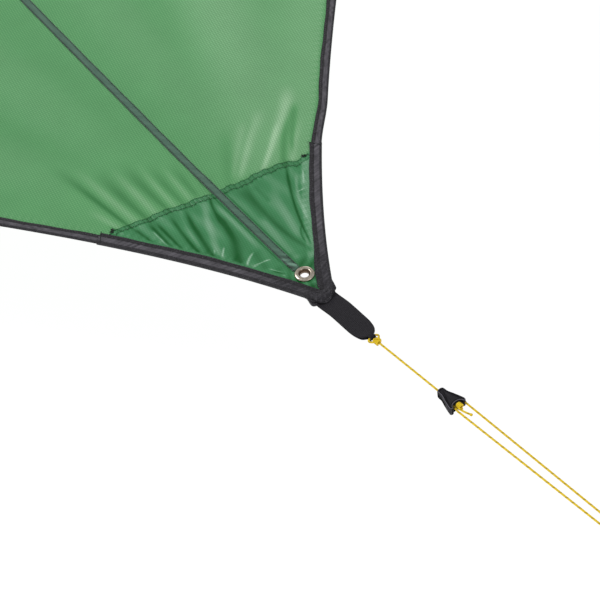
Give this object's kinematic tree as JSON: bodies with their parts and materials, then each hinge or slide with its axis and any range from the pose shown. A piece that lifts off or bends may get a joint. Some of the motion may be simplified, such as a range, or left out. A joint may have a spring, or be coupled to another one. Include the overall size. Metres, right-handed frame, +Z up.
{
  "type": "camping tarp",
  "caption": "Square ripstop tarp pitched as a lean-to, with taped edges, patched corners, eyelets, webbing loops and a guyline with a line tensioner.",
  "frame": {"origin": "centre of the high back left corner's eyelet, at the middle of the cloth, where the tarp is held up", "axes": "+X along the low and high edges towards the right, +Y horizontally from the low edge towards the high edge, +Z up; the canopy slopes up 25 degrees towards +Y"},
  "size_m": [3.3599, 2.9886, 1.3956],
  "materials": {
    "ripstop": "coated green ripstop, satin",
    "ripstop_double": "two layers of coated green ripstop, satin",
    "seam": "flat-felled ripstop with two rows of stitches",
    "tape": "fine black binding tape, matt",
    "webbing": "ribbed black webbing, matt",
    "nickel": "worn nickel plate",
    "cord": "braided yellow line with olive flecks",
    "moulding": "moulded black nylon, satin"
  },
  "bodies": {
    "tarp": {"left_panel": "ripstop", "right_panel": "ripstop", "ridge_seam": "seam", "edge_binding_low": "tape", "edge_binding_left": "tape", "edge_binding_high": "tape", "edge_binding_right": "tape", "corner_binding_front_right_first": "tape", "corner_binding_front_right_second": "tape", "corner_binding_front_left_first": "tape", "corner_binding_front_left_second": "tape", "corner_binding_back_left_first": "tape", "corner_binding_back_left_second": "tape", "corner_binding_back_right_first": "tape", "corner_binding_back_right_second": "tape", "corner_patch_front_right": "ripstop_double", "corner_patch_front_left": "ripstop_double", "corner_patch_back_left": "ripstop_double", "corner_patch_back_right": "ripstop_double", "corner_cap_front_right": "tape", "corner_cap_front_left": "tape", "corner_cap_back_left": "tape", "corner_cap_back_right": "tape", "webbing_loop_front_right": "webbing", "webbing_loop_front_left": "webbing", "webbing_loop_back_left": "webbing", "webbing_loop_back_right": "webbing", "eyelet_front_right": "nickel", "eyelet_front_left": "nickel", "eyelet_back_left": "nickel", "eyelet_back_right": "nickel", "washer_front_right": "nickel", "washer_front_left": "nickel", "washer_back_left": "nickel", "washer_back_right": "nickel"},
    "guyline": {"anchor_knot": "cord", "upper_line": "cord"},
    "tensioner": {"line_tensioner": "moulding", "stopper_knot": "cord", "line_tail": "cord"},
    "peg_line": {"peg_loop": "cord"}
  },
  "joints": [
    {"name": "guyline_swing", "type": "hinge", "parent": "tarp", "child": "guyline", "pos_m": [3.00049, -2.7117, -1.26614], "axis": [-0.6293, -0.7043, -0.3284], "range_deg": [0, 100]},
    {"name": "tensioner_slide", "type": "slide", "parent": "guyline", "child": "tensioner", "axis": [0.7771, -0.5704, -0.266], "range_m": [-0.055, 0.25], "deforming": ["upper_line"]},
    {"name": "peg_loop_take_up", "type": "slide", "parent": "tensioner", "child": "peg_line", "axis": [0.7771, -0.5704, -0.266], "range_m": [-0.126, 0.028], "deforming": ["peg_loop"]}
  ],
  "couplings": [
    {"joint": "peg_loop_take_up", "follows": "tensioner_slide", "ratio": -0.5}
  ]
}
